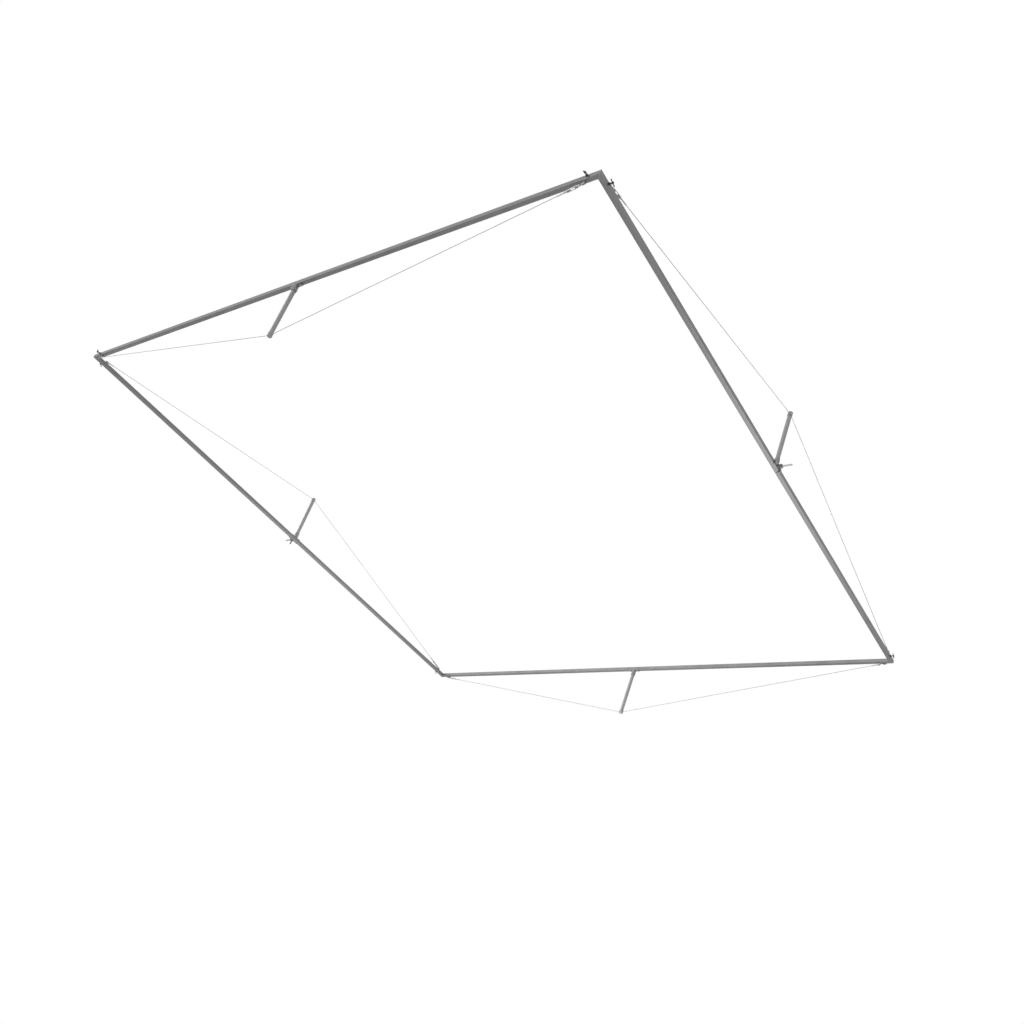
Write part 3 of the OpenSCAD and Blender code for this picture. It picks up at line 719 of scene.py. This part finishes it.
# Stainless rigging steel: polished, with faint forging marks 3 mm across and fine scratches
rigging = metal(
    "stainless rigging steel, polished", "#b8b9ba", "#9b9c9d", 0.85, 0.24, (0.003, 0.003, 0.003), share=0.3,
    stain=0.03, scratch=0.15,
)
pin_low = -fork_half_w - pin_head_h
pin_high = fork_half_w + pin_tail
pin = turned([
    (pin_head_r - 0.0010, pin_low), (pin_head_r - 0.0003, pin_low + 0.0003), (pin_head_r, pin_low + 0.0010),
    (pin_head_r, -fork_half_w), (pin_r, -fork_half_w), (pin_r, pin_high - 0.0008), (pin_r - 0.0008, pin_high),
])
# The clip's straight leg goes through the pin, and its other leg turns back and is sprung round the pin:
# its distance from the leg is 3 mm, and 2.2 mm more beside the pin, as a bell curve of 2.4 mm
leg = np.linspace(-0.0085, 0.0070, 24)
curl = np.linspace(0, math.pi, 14)[1:-1]
back = np.linspace(0.0070, -0.0095, 26)
sprung = 0.0030 + 0.0022 * np.exp(-(back / 0.0024) ** 2)
clip_path = np.concatenate([
    np.stack([np.zeros(24), np.zeros(24), leg], -1),
    np.stack([0.0015 * (1 - np.cos(curl)), np.zeros(12), 0.0070 + 0.0022 * np.sin(curl)], -1),
    np.stack([sprung, np.zeros(26), back], -1),
])
clip = tube(clip_path, (0, 1, 0), clip_r, 8)
pins, clips = [], []
for side in side_order:
    for end in (-1, 1):
        at = np.array([end * anchor_x, 0, anchor_z])
        pins.append(on_side(side, aimed(pin, (1, 0, 0), (0, 1, 0), at)))
        clips.append(on_side(side, clip + at + (0, fork_half_w + pin_tail / 2, 0)))
shell("fork_pins", pins, rigging, "rigging_steel", "frame", "anchor_pins")
shell("pin_clips", clips, rigging, "rigging_steel", "frame", smooth=60)

# Terminals and turnbuckles
#
# One end of each wire has a fork swaged on it. The other has a threaded terminal and a jaw screw, joined by a
# forged turnbuckle with a left-hand and a right-hand thread, and locked by a nut at each end of its body.
fork_r = 0.008
fork_bridge_at = 0.015
fork_end = 0.023
cheek_in = 0.0034
cheek_out = 0.0074
bridge_inset = 0.0003
sleeve_r = 0.0055
sleeve_len = 0.060
squeeze = 0.00022
squeeze_step = 0.006
bore_r = wire_r + 5e-5
rod_r = 0.004
rod_pitch = 0.00125
body_start = 0.037
body_end = 0.149
rod_in = 0.040
collar_r = 0.009
collar_len = 0.015
bar_deep = 0.0044
nut_r = 0.0075
nut_h = 0.005
nut_gap = 0.0005


def on_wire(side, end, points):
    """Points with Z along the wire from the anchor pin and X across it, put in place on a side's end.

    They are turned by the angle rise and moved to the pin."""
    across, above, run = np.moveaxis(points, -1, 0)
    x = run * math.cos(rise) - above * math.sin(rise)
    z = run * math.sin(rise) + above * math.cos(rise)
    return on_side(side, np.stack([end * anchor_x - end * x, -end * across, anchor_z + z], -1))


def fork():
    """A fork along Z: two cheeks with round ends and chamfered faces, and a bridge that narrows to a neck.

    A cheek is a half circle round the pin and two straight edges, carried along X. The bridge's rings are
    superellipses, |x / wide| ** n + |y / deep| ** n = 1, whose n falls from 8 to 2 towards the neck."""
    bend = np.linspace(0, math.pi, 20)
    rim = np.vstack([
        np.stack([fork_r * np.cos(bend), -fork_r * np.sin(bend)], -1),
        [(-fork_r, fork_end - 0.004), (-fork_r + 0.001, fork_end - 0.001), (fork_r - 0.001, fork_end - 0.001),
         (fork_r, fork_end - 0.004)],
    ])
    middle = np.array([0, 0.008])
    cheeks = []
    for sign in (-1, 1):
        low, high = sorted((sign * cheek_in, sign * cheek_out))
        rings = [
            np.insert((rim - middle) * inset + middle, 0, x, axis=1)
            for x, inset in ((low, 0.94), (low + 0.0006, 1), (high - 0.0006, 1), (high, 0.94))
        ]
        cheeks.append(np.array(rings)[:, ::-1])
    a = np.linspace(0, 2 * math.pi, 24, endpoint=False)
    bridge_x, bridge_y = cheek_out - bridge_inset, fork_r - bridge_inset
    rings = []
    for z, wide, deep, n in (
        (fork_bridge_at, 0.0070, 0.0076, 8), (fork_bridge_at + 0.0005, bridge_x, bridge_y, 8),
        (fork_end - 0.001, bridge_x, bridge_y, 8), (fork_end, 0.0068, 0.0070, 5),
        (fork_end + 0.0015, 0.0058, 0.0059, 3), (fork_end + 0.003, sleeve_r, sleeve_r, 2),
    ):
        r = (np.abs(np.cos(a) / wide) ** n + np.abs(np.sin(a) / deep) ** n) ** (-1 / n)
        rings.append(np.stack([r * np.cos(a), r * np.sin(a), np.full(24, z)], -1))
    return [*cheeks, np.array(rings)]


def sleeve(start):
    """A swaged sleeve along Z: a round bar that the dies squeezed in nine shallow steps.

    Its radius is less by half of squeeze times (1 + cos) of a full turn in every step. It tapers at the
    wire's end, and the wire's bore goes in from there."""
    steps = np.linspace(start, start + sleeve_len - squeeze_step, 55)
    squeezed = sleeve_r - squeeze * (1 + np.cos((steps - start) / squeeze_step * 2 * math.pi)) / 2
    end = start + sleeve_len
    profile = np.vstack([
        [(0.0035, start - 0.0005)],
        np.stack([squeezed, steps], -1),
        [(0.0048, end - 0.0020), (0.0036, end), (bore_r, end), (bore_r, end - grip)],
    ])
    return turned(profile)


forks, jaws, terminals, lock_nuts = [], [], [], []
for side in side_order:
    forks += [on_wire(side, -1, part) for part in (*fork(), sleeve(fork_end))]
    jaws += [
        on_wire(side, 1, part)
        for part in (*fork(), thread(fork_end + 0.0005, body_start + rod_in, rod_r, rod_pitch, hand=-1))
    ]
    rod = thread(body_end - rod_in, body_end + 0.0145, rod_r, rod_pitch)
    terminals += [on_wire(side, 1, part) for part in (rod, sleeve(body_end + 0.014))]
    for z in (body_start - nut_gap - nut_h, body_end + nut_gap):
        lock_nuts.append(on_wire(side, 1, hex_rings(nut_r, z, z + nut_h, bore=rod_r + 5e-5)))
shell("swaged_forks", forks, rigging, "rigging_steel", "frame", "fork_terminals")
shell("jaw_screws_threaded", jaws, rigging, "rigging_steel", "frame", "jaw_screws", smooth=30)
shell("threaded_terminals", terminals, rigging, "rigging_steel", "frame", "stud_terminals", smooth=30)
shell(
    "turnbuckle_lock_nuts", lock_nuts, rigging, "rigging_steel", "frame", "lock_nuts", joined=True, smooth=25
)


def turnbuckle_body():
    """A forged open body along Z: a rounded collar at each end, and two oval bars between the collars.

    A bar's middle line is 8.25 mm from the axis, and closes to 5.5 mm inside the collars along a smooth
    step. Its section is an oval, (wide cos a, deep sin a)."""
    u = np.linspace(0, 1, 37)
    z = body_start + 0.004 + (body_end - body_start - 0.008) * u
    near = np.clip(np.minimum(z - body_start, body_end - z) / 0.022, 0, 1)
    off = 0.0055 + 0.00275 * near * near * (3 - 2 * near)
    a = np.linspace(0, 2 * math.pi, 16, endpoint=False)
    wide = 0.00265 + 0.0008 * (1 - near)
    bars = []
    for sign in (-1, 1):
        x = (sign * off)[:, None] + wide[:, None] * np.cos(a)
        y = np.broadcast_to(bar_deep * np.sin(a), x.shape)
        bars.append(np.stack([x, y, np.broadcast_to(z[:, None], x.shape)], -1))
    inner = rod_r + 6e-5
    collars = []
    for low in (body_start, body_end - collar_len):
        high = low + collar_len
        collars.append(turned([
            (inner, high), (inner, low), (0.0072, low), (0.0084, low + 0.0008), (collar_r, low + 0.0025),
            (collar_r, high - 0.0025), (0.0084, high - 0.0008), (0.0072, high),
        ]))
    return bars, collars


for side in side_order:
    bars, collars = turnbuckle_body()
    bars = [on_wire(side, 1, part) for part in bars]
    collars = [on_wire(side, 1, part) for part in collars]
    shell(
        f"{side}_turnbuckle_bars", bars, rigging, "rigging_steel", f"{side}_turnbuckle", f"{side}_turnbuckle"
    )
    shell(f"{side}_turnbuckle_collars", collars, rigging, "rigging_steel", f"{side}_turnbuckle", joined=True)

# Ears and studs
#
# At the middles of the left and right sides a cast aluminium ear is screwed on. In its boss turns a steel
# stud, on which the frame hangs. It is turned from bar, with a groove near its tip for a clamping screw.

# Sand-cast aluminium, tumbled: dull grey with cloudy patches and the even grain of the sand all over, drawn
# 1.6 mm wide so that it shows
cast = metal(
    "sand-cast aluminium, tumbled", "#989898", "#818181", 0.4, 0.5, (0.0016, 0.0016, 0.0016), share=0.6,
    stain=0.04, depth=6e-5,
)
dress(cast, "left_ear", "right_ear")

# Turned steel: bright, with tool rings round the stud's axis, drawn 1 mm apart so that they show
turned_steel = metal(
    "turned steel", "#a9abad", "#86888a", 0.9, 0.28, (0.0010, 0.05, 0.05), share=0.5, stain=0.03, scratch=0.15
)
dress(turned_steel, "left_stud", "right_stud")
